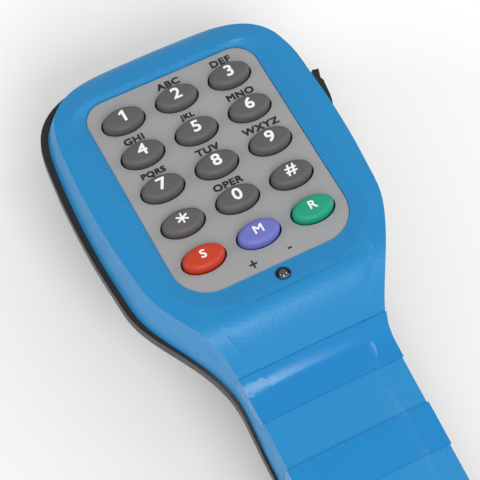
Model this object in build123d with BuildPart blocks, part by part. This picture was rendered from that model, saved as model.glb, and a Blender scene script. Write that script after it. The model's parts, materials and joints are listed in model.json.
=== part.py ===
"""Lineman's telephone test set: a one-piece handset with a dial pad, lying on its back.

Frame: +Z up, +Y towards the earpiece end, +X to the right of the dial pad, in millimetres.
The origin is on the table, under the middle of the handset.  The earpiece cushion and the
mouthpiece cap both rest on Z = 0, and the handle bridges the gap between them.
"""
import os
from math import cos, pi, radians, sin, sqrt, tan

from build123d import *

# ---------------------------------------------------------------- driving dimensions
head_end_y = 120.5
tail_end_y = -118.5
head_half_width = 36.7
handle_half_width = 19.9
tail_half_width = 24.5
head_middle_y = 84.0
head_bulge = 0.0026
waist_start_y = 22.0
waist_end_y = 58.0
flare_start_y = -60.0
flare_end_y = -95.0
head_round = 20.0
head_round_power = 3.5
head_drop = 5.5
head_lift = 8.0
tail_corner_r = 14.0
tail_drop = 0.42
tail_lift = 0.6
rim_proud = 0.7
rim_depth = 4.0
head_slope_in = 9.0
handle_slope_in = 5.5
wall = 2.2

pad_tilt = 10.0
pad_y = 103.8
pad_z = 42.7
rim_height = 1.8
handle_top_z = 43.5
handle_fall = 0.016
neck_start_y = 25.0
neck_end_y = 43.0
parting_handle_z = 30.5
parting_head_z = 35.5
parting_head_slope = 0.045

head_base_z = 11.0
handle_base_z = 14.5
tail_base_z = 6.0

band_first_y = 30.2
band_width = 11.4
band_pitch = 24.0
band_count = 4
band_proud = 0.35
band_end_above_parting = 6.0
band_end_r = 3.5

key_pitch_x = 15.0
key_pitch_y = 11.15
key_half_length = 5.5
key_half_width = 3.35
key_height = 2.4
key_gap = 0.5
key_travel = 1.1
key_top_round = 0.9
key_flange = 1.1
key_flange_thickness = 1.0
key_play = 0.2

plate_half_width = 23.8
plate_top_y = 7.8
plate_bottom_y = -54.0
plate_top_r = 6.0
plate_bottom_r = 9.5
plate_thickness = 1.0
plate_gap = 0.15
plate_sunk = 0.25
dish_half_width = 29.2
dish_top_y = 9.4
dish_bottom_y = -61.5
dish_top_r = 8.5
dish_bottom_r = 17.0
pad_floor = 1.8
mat_sheet = 0.8
mat_dome = 1.0
mat_gap = 0.3
board_thickness = 1.6

led_y = -57.2
led_r = 1.5
led_hole_r = 1.62

ear_y = 84.0
ear_boss_r = 27.5
ear_boss_z = 4.0
ear_cap_r = 20.0
receiver_r = 18.0
receiver_height = 9.0
mouth_y = -88.0
mouth_boss_r = 18.5
mouth_boss_z = 3.0
mouth_cap_r = 16.5
mic_r = 4.85
mic_height = 5.0

screw_r = 1.5
screw_head_r = 2.8
screw_head_height = 2.0
boss_r = 3.7
screw_below_parting = 12.0
screw_above_parting = 4.0
screw_places = [(-26.5, 104), (26.5, 104), (-22, 49), (22, 49), (-11.5, -66), (11.5, -66)]

lever_pin_x = 32.0
lever_pin_y = 88.0
lever_pin_r = 1.0
lever_low_z = 28.0
lever_high_z = 34.0
lever_tip_x = 39.8
lever_gap = 0.45

clip_pin_y = -103.0
clip_pin_z = 46.6
clip_pin_r = 1.5
clip_half_width = 11.0
clip_reach = 32.0
clip_thickness = 2.2
running_gap = 0.05

gland_z = 23.0
cord_r = 3.15
gland_r = 4.6


# ---------------------------------------------------------------- shape of the handset
def blend(start, end, value):
    """0 below start, 1 above end, and a smooth rise between."""
    t = min(max((value - start) / (end - start), 0.0), 1.0)
    return t * t * (3 - 2 * t)


def half_width(y):
    """Half width of the handset at the parting line."""
    head = head_half_width - head_bulge * (y - head_middle_y) ** 2
    handle = handle_half_width
    handle += blend(flare_start_y, flare_end_y, y) * (tail_half_width - handle_half_width)
    return handle + blend(waist_start_y, waist_end_y, y) * (head - handle)


def pad_rim_z(y):
    """Height of the flat plane that the rim of the dial pad lies in."""
    return pad_z + rim_height / cos(radians(pad_tilt)) - (y - pad_y) * tan(radians(pad_tilt))


def top_z(y):
    """Height of the handset's front surface on the middle line."""
    handle = handle_top_z + handle_fall * (y - neck_start_y)
    return handle + blend(neck_start_y, neck_end_y, y) * (pad_rim_z(y) - handle)


def base_z(y):
    """Height of the handset's back surface on the middle line."""
    handle = handle_base_z + blend(-54, -78, y) * (tail_base_z - handle_base_z)
    return handle + blend(28, 54, y) * (head_base_z - handle_base_z)


def parting_z(y):
    """Height of the joint between the two shells."""
    head = parting_head_z + parting_head_slope * (pad_y - y)
    return parting_handle_z + blend(10, 50, y) * (head - parting_handle_z)


def boss_top_z(y):
    """Height that a screw boss reaches inside the front shell."""
    return top_z(y) - 1.2 - 2.4 * blend(waist_start_y, waist_end_y, y)


def tail_closing(y):
    """How far the outline has drawn in at y towards the rounded tail, in millimetres."""
    past = max(tail_end_y + tail_corner_r - y, 0)
    return tail_corner_r - sqrt(max(tail_corner_r**2 - past**2, 0))


def head_closing(y):
    """Share of the width that the bowed head end has lost at y; it stops short of 1."""
    t = min(max((y - head_end_y) / head_round + 1, 0.0), 0.998)
    return 1 - (1 - t**head_round_power) ** (1 / head_round_power)


def side_x(y, inset):
    """Half width of the body at y after both ends have drawn in."""
    return half_width(y) * (1 - head_closing(y)) - inset - tail_closing(y)


def stations():
    """Places along Y where the handset's cross-section is drawn."""
    places = [tail_end_y + tail_corner_r * (1 - cos(radians(a))) for a in range(0, 91, 15)]
    first = places[-1]
    last = head_end_y - head_round
    gaps = 28
    places += [first + (last - first) * i / gaps for i in range(1, gaps)]
    places += [last + head_round * sin(radians(a)) for a in (0, 18, 34, 48, 60, 71, 80, 90)]
    return places


def shrunk(y, inset):
    """Moves a station so that both ends of the body draw in by the same inset."""
    middle = (head_end_y + tail_end_y) / 2
    half = (head_end_y - tail_end_y) / 2
    return middle + (y - middle) * (half - inset) / half


def front_body(inset):
    """Solid bounded by the front surface, inset by a wall; it runs down past the parting."""
    with BuildPart() as body:
        for y in stations():
            head = blend(waist_start_y, waist_end_y, y)
            side = side_x(y, inset)
            roof = top_z(y) - inset - tail_drop * tail_closing(y) - head_drop * head_closing(y)
            shoulder = side - 0.8 - 2.0 * head
            eave = roof - 1.0 + 0.6 * head
            with BuildSketch(Plane.XZ.offset(-shrunk(y, inset))) as section:
                with BuildLine():
                    ThreePointArc((-shoulder, eave), (0, roof), (shoulder, eave))
                    Polyline((shoulder, eave), (side, 30), (side, 20), (-side, 20), (-side, 30),
                             (-shoulder, eave))
                make_face()
                round_r = min(9.0 - 4.2 * head - 0.9 * inset, 0.75 * shoulder)
                fillet(section.vertices().filter_by(lambda v: v.Z > 31), round_r)
        loft()
    return body.part


def back_body(inset):
    """Solid bounded by the back surface, inset by a wall; it runs up past the parting."""
    with BuildPart() as body:
        for y in stations():
            head = blend(waist_start_y, waist_end_y, y)
            side = side_x(y, inset)
            low = base_z(y) + inset + tail_lift * tail_closing(y) + head_lift * head_closing(y)
            slope_in = handle_slope_in + head * (head_slope_in - handle_slope_in)
            sole = side * (1 - slope_in / half_width(y))
            rim_low = parting_z(y) - rim_depth
            with BuildSketch(Plane.XZ.offset(-shrunk(y, inset))) as section:
                with BuildLine():
                    Polyline((-side, 45), (side, 45), (side, rim_low), (sole, low),
                             (-sole, low), (-side, rim_low), (-side, 45))
                make_face()
                round_r = min(8.0 - 0.9 * inset, 0.6 * sole)
                fillet(section.vertices().group_by(Axis.Z)[0], round_r)
        loft()
    return body.part


def slab_between(low, high):
    """Full-width solid between two curves that follow the parting line, given as offsets."""
    near_y = tail_end_y - 10
    far_y = head_end_y + 10
    count = 26
    line = [near_y + (far_y - near_y) * i / count for i in range(count + 1)]
    with BuildPart() as slab:
        with BuildSketch(Plane.YZ):
            with BuildLine():
                lower = Spline([(y, parting_z(y) + low) for y in line])
                upper = Spline([(y, parting_z(y) + high) for y in line])
                Line(lower @ 0, upper @ 0)
                Line(lower @ 1, upper @ 1)
            make_face()
        extrude(amount=head_half_width + 20, both=True)
    return slab.part


def pad_plane(height):
    """Plane parallel to the dial plate's face; its origin is under the "2" key."""
    lean = radians(pad_tilt)
    face = Plane(origin=(0, pad_y, pad_z), x_dir=(1, 0, 0), z_dir=(0, sin(lean), cos(lean)))
    return face.offset(height)


def pad_outline(plane, half, top_y, bottom_y, top_r, bottom_r):
    """Rounded rectangle on the dial pad with its own radii at the top and the bottom."""
    with BuildSketch(plane) as outline:
        with Locations((0, (top_y + bottom_y) / 2)):
            Rectangle(2 * half, top_y - bottom_y)
        corners = outline.vertices().group_by(Axis.Y)
        fillet(corners[-1], top_r)
        fillet(outline.vertices().group_by(Axis.Y)[0], bottom_r)
    return outline.sketch


def key_places():
    """Centres of the keys on the dial plate, row by row from the top left."""
    columns = (-key_pitch_x, 0, key_pitch_x)
    return [(x, -row * key_pitch_y) for row in range(5) for x in columns]


def column(x, y, radius, low, high):
    """Upright round column between two heights."""
    with BuildPart() as post:
        with BuildSketch(Plane.XY.offset(low)):
            with Locations((x, y)):
                Circle(radius)
        extrude(amount=high - low)
    return post.part


def upright_box(x_range, y_range, z_range):
    """Box given by its lowest and highest corner values."""
    with BuildPart() as block:
        with BuildSketch(Plane.XY.offset(z_range[0])):
            with Locations((sum(x_range) / 2, sum(y_range) / 2)):
                Rectangle(x_range[1] - x_range[0], y_range[1] - y_range[0])
        extrude(amount=z_range[1] - z_range[0])
    return block.part


# ---------------------------------------------------------------- heights under the dial plate
floor_low = -plate_thickness - pad_floor
flange_top = floor_low - key_play
key_low = flange_top - key_flange_thickness
dome_top = key_low - key_travel - mat_gap
mat_top = dome_top - mat_dome
board_top = mat_top - mat_sheet
board_low = board_top - board_thickness
board_half_width = 22.2
board_top_y = 8.5
board_bottom_y = -49.6
board_tab_half_width = 8.0
board_tab_y = -60.5
post_r = 2.0
post_places = [(x, y) for x in (-key_pitch_x / 2, key_pitch_x / 2)
               for y in (-key_pitch_y / 2, -3.5 * key_pitch_y)]


# ---------------------------------------------------------------- bodies shared by the shells
front_outer = front_body(0)
front_inner = front_body(wall)
back_outer = back_body(-rim_proud)
back_inner = back_body(wall)
above_parting = slab_between(0, 40)
below_parting = slab_between(-45, 0)


# ---------------------------------------------------------------- grip bands on the handle
with BuildPart() as bands:
    for number in range(band_count):
        high_y = band_first_y - number * band_pitch
        low_z = parting_z(high_y - band_width / 2) + band_end_above_parting
        with BuildSketch(Plane.YZ):
            with Locations((high_y - band_width / 2, low_z + 15)):
                RectangleRounded(band_width, 30, band_end_r)
        extrude(amount=handle_half_width + 8, both=True)
    add(front_body(-band_proud), mode=Mode.INTERSECT)


# ---------------------------------------------------------------- front shell
with BuildPart() as front_shell:
    add(front_outer)
    add(above_parting, mode=Mode.INTERSECT)
    add(bands.part)
    add(front_inner, mode=Mode.SUBTRACT)
    # thick floor behind the dial plate
    extrude(pad_outline(pad_plane(-0.3), plate_half_width + 3, plate_top_y + 3,
                        plate_bottom_y - 3, plate_top_r + 3, plate_bottom_r + 3),
            amount=floor_low + 0.3)
    # the dish that slopes from the rim down to the dial plate
    dish_rim = pad_outline(pad_plane(rim_height), dish_half_width, dish_top_y, dish_bottom_y,
                           dish_top_r, dish_bottom_r)
    dish_foot = pad_outline(pad_plane(plate_sunk), plate_half_width + 0.5, plate_top_y + 0.5,
                            plate_bottom_y - 0.5, plate_top_r + 0.5, plate_bottom_r + 0.5)
    loft([dish_rim.face(), dish_foot.face()], mode=Mode.SUBTRACT)
    extrude(dish_rim, amount=4, mode=Mode.SUBTRACT)
    # pocket for the dial plate, then the key holes and the indicator's hole
    extrude(pad_outline(pad_plane(plate_sunk + 0.5), plate_half_width + plate_gap,
                        plate_top_y + plate_gap, plate_bottom_y - plate_gap,
                        plate_top_r + plate_gap, plate_bottom_r + plate_gap),
            amount=-(plate_sunk + 0.5 + plate_thickness), mode=Mode.SUBTRACT)
    with BuildSketch(pad_plane(1)):
        with Locations(*key_places()):
            Ellipse(key_half_length + key_gap, key_half_width + key_gap)
        with Locations((0, led_y)):
            Circle(led_hole_r)
    extrude(amount=floor_low - 2, mode=Mode.SUBTRACT)
    # posts that carry the main board between the keys
    with BuildSketch(pad_plane(floor_low + 0.5)):
        with Locations(*post_places):
            Circle(post_r)
    extrude(amount=board_top - floor_low - 0.5)
    with BuildSketch(pad_plane(board_top)):
        with Locations(*post_places):
            Circle(0.8)
    extrude(amount=5, mode=Mode.SUBTRACT)
    # screw bosses
    add([column(x, y, boss_r, parting_z(y), boss_top_z(y)) for x, y in screw_places])
    add([column(x, y, screw_r - 0.25, parting_z(y), parting_z(y) + screw_above_parting + 0.6)
         for x, y in screw_places], mode=Mode.SUBTRACT)
    # ears that carry the belt clip's pin
    for side in (-1, 1):
        ear_x = side * (clip_half_width + 0.4)
        with BuildSketch(Plane.YZ.offset(ear_x)):
            with Locations((clip_pin_y, clip_pin_z)):
                Circle(3.8)
            with Locations((clip_pin_y, clip_pin_z - 3.6)):
                Rectangle(7.6, 7.2)
        extrude(amount=side * 3.0)
    with BuildSketch(Plane.YZ):
        with Locations((clip_pin_y, clip_pin_z)):
            Circle(clip_pin_r)
    extrude(amount=20, both=True, mode=Mode.SUBTRACT)


# ---------------------------------------------------------------- gasket between the shells
gasket_depth = 0.8
with BuildPart() as shell_gasket:
    add(back_body(0.4))
    add(slab_between(-gasket_depth, 0), mode=Mode.INTERSECT)
    add(back_body(1.4), mode=Mode.SUBTRACT)


# ---------------------------------------------------------------- back shell
lever_window_y = (lever_pin_y - 2.8, lever_pin_y + 10.4)
line_board_z = 24.0
line_board_low_y = -56.0
line_board_high_y = 36.0
line_post_places = [(x, y) for x in (-11, 11) for y in (-48, 28)]
clamp_y = -107.0
clamp_places = (-8.0, 8.0)
shelf_z = lever_low_z - lever_gap
shelf_thickness = 2.6
shelf_reach = 10.6


def screw_seat_z(y):
    """Height at which a shell screw's head bears on its tower."""
    return parting_z(y) - screw_below_parting


with BuildPart() as inner_supports:
    add([column(x, y, boss_r, base_z(y) + 1, parting_z(y) - 0.2) for x, y in screw_places]
        + [column(x, y, 2.6, handle_base_z + 1, line_board_z) for x, y in line_post_places]
        + [column(x, clamp_y, 2.4, tail_base_z + 3, gland_z + 2) for x in clamp_places]
        + [upright_box((lever_pin_x - shelf_reach, lever_pin_x + 2.2),
                       (lever_pin_y - 2.6, lever_pin_y + 9.4),
                       (shelf_z - shelf_thickness, shelf_z))])
    add(back_outer, mode=Mode.INTERSECT)


with BuildPart() as back_shell:
    add(back_outer)
    add(below_parting, mode=Mode.INTERSECT)
    add(back_inner, mode=Mode.SUBTRACT)
    add(shell_gasket.part, mode=Mode.SUBTRACT)
    # cups for the receiver and the microphone, and towers, posts and pin shelves
    add([column(0, ear_y, ear_boss_r, ear_boss_z, head_base_z + wall + 2.5),
         column(0, mouth_y, mouth_boss_r, mouth_boss_z, tail_base_z + wall + 2.5)])
    add([column(0, ear_y, ear_boss_r - 3, ear_boss_z + 2, head_base_z + wall + 3.5),
         column(0, mouth_y, mouth_boss_r - 6, mouth_boss_z + 2, tail_base_z + wall + 3.5)],
        mode=Mode.SUBTRACT)
    add(inner_supports.part)
    # openings: speech, counterbores, threads, lever window, lever pin
    add([column(0, ear_y, receiver_r - 1, ear_boss_z, ear_boss_z + 2),
         column(0, mouth_y, mic_r + 1.2, mouth_boss_z, mouth_boss_z + 2)]
        + [column(x, y, screw_head_r + 0.2, 0, screw_seat_z(y)) for x, y in screw_places]
        + [column(x, y, screw_r + 0.2, screw_seat_z(y), parting_z(y)) for x, y in screw_places]
        + [column(x, y, 1.0, line_board_z - 6, line_board_z) for x, y in line_post_places]
        + [column(x, clamp_y, 1.0, gland_z - 4, gland_z + 2) for x in clamp_places]
        + [upright_box((lever_pin_x - 3.0, lever_tip_x + 2), lever_window_y,
                       (shelf_z, lever_high_z + lever_gap)),
           column(lever_pin_x, lever_pin_y, lever_pin_r, shelf_z - shelf_thickness, shelf_z)],
        mode=Mode.SUBTRACT)
    # hole for the cord gland
    with BuildSketch(Plane.XZ.offset(-tail_end_y - 6)):
        with Locations((0, gland_z)):
            Circle(gland_r)
    extrude(amount=10, mode=Mode.SUBTRACT)


# ---------------------------------------------------------------- dial plate and keys
pieces = {"front_shell": front_shell, "back_shell": back_shell, "shell_gasket": shell_gasket}

with BuildPart() as keypad_plate:
    extrude(pad_outline(pad_plane(0), plate_half_width, plate_top_y, plate_bottom_y,
                        plate_top_r, plate_bottom_r), amount=-plate_thickness)
    with BuildSketch(pad_plane(0)):
        with Locations(*key_places()):
            Ellipse(key_half_length + key_gap, key_half_width + key_gap)
    extrude(amount=-plate_thickness, mode=Mode.SUBTRACT)
pieces["keypad_plate"] = keypad_plate

key_names = ["1", "2", "3", "4", "5", "6", "7", "8", "9", "star", "0", "hash",
             "store", "memory", "redial"]
for key_name, (x, y) in zip(key_names, key_places()):
    with BuildPart() as key:
        with BuildSketch(pad_plane(key_low)):
            with Locations((x, y)):
                Ellipse(key_half_length + key_flange, key_half_width + key_flange)
        extrude(amount=key_flange_thickness)
        with BuildSketch(pad_plane(key_low)):
            with Locations((x, y)):
                Ellipse(key_half_length, key_half_width)
        extrude(amount=key_height - key_low)
        crown_edge = key.edges().sort_by(Axis((0, 0, 0), tuple(pad_plane(0).z_dir)))[-1]
        fillet(crown_edge, key_top_round)
    pieces["key_" + key_name] = key

with BuildPart() as key_mat:
    extrude(pad_outline(pad_plane(board_top), board_half_width - 0.6, board_top_y - 0.6,
                        board_bottom_y + 0.6, 3, 3), amount=mat_sheet)
    with BuildSketch(pad_plane(mat_top)):
        with Locations(*key_places()):
            Ellipse(key_half_length - 0.5, key_half_width - 0.3)
    extrude(amount=mat_dome, taper=20)
    with BuildSketch(pad_plane(board_top)):
        with Locations(*post_places):
            Circle(post_r + 0.3)
    extrude(amount=mat_sheet + 1, mode=Mode.SUBTRACT)
pieces["key_mat"] = key_mat


# ---------------------------------------------------------------- main board and its parts
with BuildPart() as main_board:
    extrude(pad_outline(pad_plane(board_top), board_half_width, board_top_y, board_bottom_y,
                        2, 2), amount=-board_thickness)
    with BuildSketch(pad_plane(board_top)):
        with Locations((0, (board_bottom_y + board_tab_y) / 2 + 1)):
            Rectangle(2 * board_tab_half_width, board_bottom_y - board_tab_y + 2)
    extrude(amount=-board_thickness)
    with BuildSketch(pad_plane(board_top)):
        with Locations(*post_places):
            Circle(1.2)
        with Locations((-1.27, led_y), (1.27, led_y)):
            Circle(0.45)
    extrude(amount=-board_thickness, mode=Mode.SUBTRACT)
pieces["main_board"] = main_board

with BuildPart() as board_screws:
    with BuildSketch(pad_plane(board_low)):
        with Locations(*post_places):
            Circle(1.9)
    extrude(amount=-1.3)
    with BuildSketch(pad_plane(board_low)):
        with Locations(*post_places):
            Circle(0.8)
    extrude(amount=board_thickness + 3.5)
pieces["board_screws"] = board_screws

with BuildPart() as dialler_chip:
    with BuildSketch(pad_plane(board_low)):
        with Locations((0, -22.0)):
            Rectangle(12, 12)
    extrude(amount=-2.4)
    chamfer(dialler_chip.edges().group_by(Axis.Z)[0], 0.4)
pieces["dialler_chip"] = dialler_chip

with BuildPart() as dialler_crystal:
    with BuildSketch(pad_plane(board_low)):
        with Locations((0, -33.0)):
            SlotOverall(11, 4.6)
    extrude(amount=-3.5)
pieces["dialler_crystal"] = dialler_crystal

with BuildPart() as board_capacitors:
    with BuildSketch(pad_plane(board_low)):
        with Locations((-15, -10), (15, -10), (15, -26)):
            Circle(3.1)
    extrude(amount=-7)
pieces["board_capacitors"] = board_capacitors

led_top = 1.3
with BuildPart() as polarity_led:
    with BuildSketch(pad_plane(board_top + 1.5)):
        with Locations((0, led_y)):
            Circle(led_r)
    extrude(amount=led_top - board_top - 1.5)
    fillet(polarity_led.edges().group_by(Axis.Z)[-1], led_r * 0.85)
    with BuildSketch(pad_plane(board_low - 1)):
        with Locations((-1.27, led_y), (1.27, led_y)):
            Circle(0.25)
    extrude(amount=board_thickness + 2.6)
pieces["polarity_led"] = polarity_led


# ---------------------------------------------------------------- receiver, at the ear
grille_ring_r = 9.0
with BuildPart() as ear_cap:
    with BuildSketch(Plane.XY.offset(ear_boss_z - 2)):
        with Locations((0, ear_y)):
            Circle(ear_cap_r)
    extrude(amount=2)
    with BuildSketch(Plane.XY.offset(ear_boss_z)):
        with Locations((0, ear_y)):
            Circle(receiver_r - 1.1)
    extrude(amount=1.9)
    with BuildSketch(Plane.XY.offset(ear_boss_z + 0.2)):
        with Locations((0, ear_y)):
            Circle(receiver_r - 2.6)
    extrude(amount=2, mode=Mode.SUBTRACT)
    with BuildSketch(Plane.XY.offset(ear_boss_z - 2)):
        with Locations((0, ear_y)):
            Circle(1.1)
            with PolarLocations(grille_ring_r / 2, 6):
                Circle(1.1)
            with PolarLocations(grille_ring_r, 12):
                Circle(1.1)
    extrude(amount=3, mode=Mode.SUBTRACT)
pieces["ear_cap"] = ear_cap

with BuildPart() as ear_cushion:
    with BuildSketch(Plane.XZ.offset(-ear_y)) as cushion_section:
        with Locations(((ear_cap_r + 0.1 + ear_boss_r) / 2, ear_boss_z / 2)):
            Rectangle(ear_boss_r - ear_cap_r - 0.1, ear_boss_z)
        fillet(cushion_section.vertices().group_by(Axis.Y)[0], 1.9)
    revolve(axis=Axis((0, ear_y, 0), (0, 0, 1)))
pieces["ear_cushion"] = ear_cushion

receiver_z = ear_boss_z + 2.6
with BuildPart() as receiver_seal:
    with BuildSketch(Plane.XY.offset(ear_boss_z + 2)):
        with Locations((0, ear_y)):
            Circle(receiver_r)
            Circle(receiver_r - 1, mode=Mode.SUBTRACT)
    extrude(amount=receiver_z - ear_boss_z - 2)
pieces["receiver_seal"] = receiver_seal

with BuildPart() as receiver_capsule:
    with BuildSketch(Plane.XY.offset(receiver_z)):
        with Locations((0, ear_y)):
            Circle(receiver_r)
    extrude(amount=3.5)
    with BuildSketch(Plane.XY.offset(receiver_z + 3.5)):
        with Locations((0, ear_y)):
            Circle(receiver_r - 4)
    extrude(amount=receiver_height - 3.5)
    fillet(receiver_capsule.edges().group_by(Axis.Z)[-1], 1.0)
pieces["receiver_capsule"] = receiver_capsule

with BuildPart() as receiver_retainer:
    with BuildSketch(Plane.XY.offset(receiver_z + 3.5)):
        with Locations((0, ear_y)):
            Circle(ear_boss_r - 3.1)
            Circle(receiver_r - 3.6, mode=Mode.SUBTRACT)
    extrude(amount=1.6)
pieces["receiver_retainer"] = receiver_retainer


# ---------------------------------------------------------------- microphone, at the mouth
with BuildPart() as mouth_cap:
    with BuildSketch(Plane.XY):
        with Locations((0, mouth_y)):
            Circle(mouth_cap_r)
    extrude(amount=mouth_boss_z)
    fillet(mouth_cap.edges().group_by(Axis.Z)[0], 1.6)
    with BuildSketch(Plane.XY.offset(mouth_boss_z)):
        with Locations((0, mouth_y)):
            Circle(mic_r + 1.1)
    extrude(amount=1.9)
    with BuildSketch(Plane.XY.offset(1.6)):
        with Locations((0, mouth_y)):
            Circle(mic_r)
    extrude(amount=5, mode=Mode.SUBTRACT)
    with BuildSketch(Plane.XY):
        with Locations((0, mouth_y)):
            with GridLocations(0, 2.2, 1, 3):
                SlotOverall(7, 1.1)
    extrude(amount=2, mode=Mode.SUBTRACT)
pieces["mouth_cap"] = mouth_cap

mic_z = mouth_boss_z + 2.4
with BuildPart() as microphone_capsule:
    with BuildSketch(Plane.XY.offset(mic_z)):
        with Locations((0, mouth_y)):
            Circle(mic_r)
    extrude(amount=mic_height)
    fillet(microphone_capsule.edges().group_by(Axis.Z)[-1], 0.5)
pieces["microphone_capsule"] = microphone_capsule

with BuildPart() as microphone_boot:
    with BuildSketch(Plane.XY.offset(mouth_boss_z + 2)):
        with Locations((0, mouth_y)):
            Circle(mouth_boss_r - 6.1)
            Circle(mic_r, mode=Mode.SUBTRACT)
    extrude(amount=mic_height)
    fillet(microphone_boot.edges().filter_by(GeomType.CIRCLE).group_by(Axis.Z)[-1]
           .sort_by(SortBy.RADIUS)[-1], 2.0)
pieces["microphone_boot"] = microphone_boot


# ---------------------------------------------------------------- line board in the handle
line_board_half_width = 14.5
line_board_top = line_board_z + board_thickness
with BuildPart() as line_board:
    with BuildSketch(Plane.XY.offset(line_board_z)):
        with Locations((0, (line_board_low_y + line_board_high_y) / 2)):
            RectangleRounded(2 * line_board_half_width, line_board_high_y - line_board_low_y, 2)
        with Locations(*line_post_places):
            Circle(1.3, mode=Mode.SUBTRACT)
    extrude(amount=board_thickness)
pieces["line_board"] = line_board

with BuildPart() as line_board_screws:
    with BuildSketch(Plane.XY.offset(line_board_top)):
        with Locations(*line_post_places):
            Circle(2.0)
    extrude(amount=1.5)
    with BuildSketch(Plane.XY.offset(line_board_top)):
        with Locations(*line_post_places):
            Circle(1.0)
    extrude(amount=-board_thickness - 5)
pieces["line_board_screws"] = line_board_screws

core_y = 4.0
with BuildPart() as transformer_core:
    with BuildSketch(Plane.XY.offset(line_board_top)):
        with Locations((0, core_y)):
            Rectangle(18, 15)
            with Locations((0, 5.5), (0, -5.5)):
                Rectangle(10.4, 4.1, mode=Mode.SUBTRACT)
    extrude(amount=11)
pieces["transformer_core"] = transformer_core

with BuildPart() as transformer_windings:
    with BuildSketch(Plane.XY.offset(line_board_top + 1)):
        with Locations((0, core_y + 5.5), (0, core_y - 5.5)):
            RectangleRounded(10, 3.7, 1)
    extrude(amount=9)
pieces["transformer_windings"] = transformer_windings

with BuildPart() as hook_relay:
    with BuildSketch(Plane.XY.offset(line_board_top)):
        with Locations((4, -16)):
            RectangleRounded(15, 10, 0.8)
    extrude(amount=9)
    fillet(hook_relay.edges().group_by(Axis.Z)[-1], 0.6)
pieces["hook_relay"] = hook_relay

with BuildPart() as line_capacitors:
    with BuildSketch(Plane.XY.offset(line_board_top)):
        with Locations((-9, -14), (-9, -22.5), (9, 20)):
            Circle(3.5)
    extrude(amount=10)
pieces["line_capacitors"] = line_capacitors

with BuildPart() as surge_arrester:
    with BuildSketch(Plane.YZ.offset(-5)):
        with Locations((-29, line_board_top + 3)):
            Circle(2.9)
    extrude(amount=8)
pieces["surge_arrester"] = surge_arrester

with BuildPart() as terminal_block:
    with BuildSketch(Plane.XY.offset(line_board_top)):
        with Locations((0, -49)):
            Rectangle(14.5, 9)
    extrude(amount=9)
    with BuildSketch(Plane.XY.offset(line_board_top + 9)):
        with Locations((-3.6, -49), (3.6, -49)):
            Circle(1.9)
    extrude(amount=-4, mode=Mode.SUBTRACT)
    with BuildSketch(Plane.XZ.offset(53.5)):
        with Locations((-3.6, line_board_top + 2.6), (3.6, line_board_top + 2.6)):
            Circle(1.4)
    extrude(amount=-5, mode=Mode.SUBTRACT)
pieces["terminal_block"] = terminal_block

with BuildPart() as terminal_screws:
    with BuildSketch(Plane.XY.offset(line_board_top + 5)):
        with Locations((-3.6, -49), (3.6, -49)):
            Circle(1.75)
    extrude(amount=2.4)
    with BuildSketch(Plane.XY.offset(line_board_top + 7.4)):
        with Locations((-3.6, -49), (3.6, -49)):
            Rectangle(3, 0.6)
    extrude(amount=-0.8, mode=Mode.SUBTRACT)
pieces["terminal_screws"] = terminal_screws

ribbon_half_width = 6.0
with BuildPart() as board_ribbon:
    with BuildSketch(Plane.YZ) as ribbon_path:
        with BuildLine():
            start = pad_plane(board_low).from_local_coords((0, -46, 0))
            FilletPolyline((start.Y, start.Z), (start.Y - 3, start.Z - 6), (32, 31.5),
                           (32, line_board_top), radius=2.5)
            offset(amount=0.35, side=Side.LEFT)
        make_face()
    extrude(amount=ribbon_half_width, both=True)
pieces["board_ribbon"] = board_ribbon


# ---------------------------------------------------------------- side lever and its switch
with BuildPart() as talk_lever:
    with BuildSketch(Plane.XY.offset(lever_low_z)) as lever_outline:
        with BuildLine():
            x0 = lever_pin_x
            y0 = lever_pin_y
            tip = lever_tip_x
            back = Spline((x0 + 2.0, y0 - 2.2), (tip - 2.0, y0 - 0.4), (tip - 0.7, y0 + 3.5),
                          (tip - 0.3, y0 + 8.0))
            Polyline(back @ 1, (tip - 0.7, y0 + 9.0), (tip, y0 + 11.4), (tip - 1.8, y0 + 11.8),
                     (tip - 2.0, y0 + 9.4), (x0 + 2.2, y0 + 8.4), (x0 + 1.6, y0 + 3.4),
                     (x0 - 2.4, y0 + 4.2), (x0 - 2.4, y0 + 2.6), (x0, y0), back @ 0)
        make_face()
        with Locations((x0, y0)):
            Circle(2.2)
    extrude(amount=lever_high_z - lever_low_z)
    with BuildSketch(Plane.XY.offset(lever_low_z)):
        with Locations((lever_pin_x, lever_pin_y)):
            Circle(lever_pin_r + running_gap)
    extrude(amount=lever_high_z - lever_low_z, mode=Mode.SUBTRACT)
pieces["talk_lever"] = talk_lever

with BuildPart() as lever_pin:
    with BuildSketch(Plane.XY.offset(shelf_z - shelf_thickness)):
        with Locations((lever_pin_x, lever_pin_y)):
            Circle(lever_pin_r)
    extrude(amount=lever_high_z - shelf_z + shelf_thickness + 0.8)
pieces["lever_pin"] = lever_pin

with BuildPart() as talk_switch:
    with BuildSketch(Plane.XY.offset(shelf_z)):
        with Locations((lever_pin_x - 7.0, lever_pin_y + 3.4)):
            Rectangle(7.0, 12)
    extrude(amount=7)
pieces["talk_switch"] = talk_switch


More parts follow.
